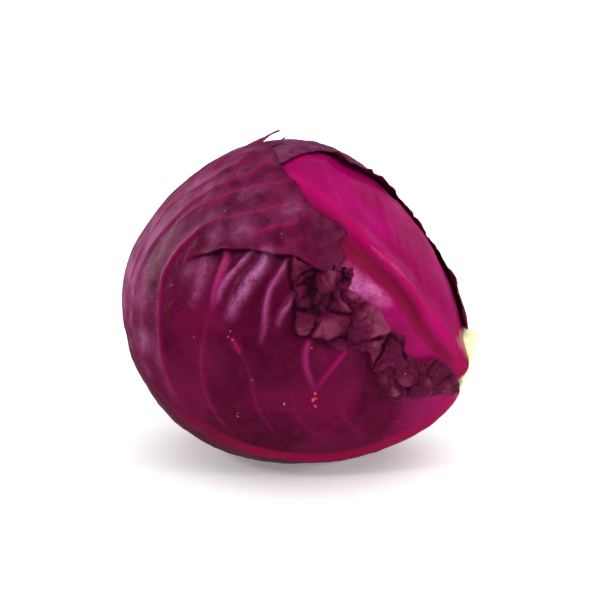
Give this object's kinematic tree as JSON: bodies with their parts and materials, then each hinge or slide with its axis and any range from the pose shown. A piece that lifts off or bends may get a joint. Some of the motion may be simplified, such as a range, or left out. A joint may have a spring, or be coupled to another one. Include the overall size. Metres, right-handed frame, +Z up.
{
  "type": "red cabbage head",
  "caption": "Head of red cabbage lying on its side, with loose wrapper leaves round a tightly packed head and a short cut stem.",
  "frame": {"origin": "on the surface the head rests on, under the middle of its length and width", "axes": "+Z up, +X along the length towards the cut stem, which also points a little down and to the front, -Y towards the front, where the bright top leaf shows between the wrappers"},
  "size_m": [0.1674, 0.1518, 0.1504],
  "materials": {
    "packed_leaves": "smooth, faintly waxy",
    "cut_stem": "matt, fibrous, moist cut face",
    "bright_leaf": "glossy magenta leaf with a raised midrib",
    "under_leaf": "satin purple leaf with a waxy bloom",
    "dark_leaf": "satin dark maroon leaf with a dry edge",
    "wrapper_leaf": "semi-glossy wine-red leaf with a waxy bloom and a wilted edge"
  },
  "bodies": {
    "root": {"inner_head": "packed_leaves", "stem": "cut_stem", "leaf_top": "bright_leaf", "leaf_under": "under_leaf", "leaf_back": "dark_leaf", "leaf_front": "wrapper_leaf"}
  },
  "joints": []
}
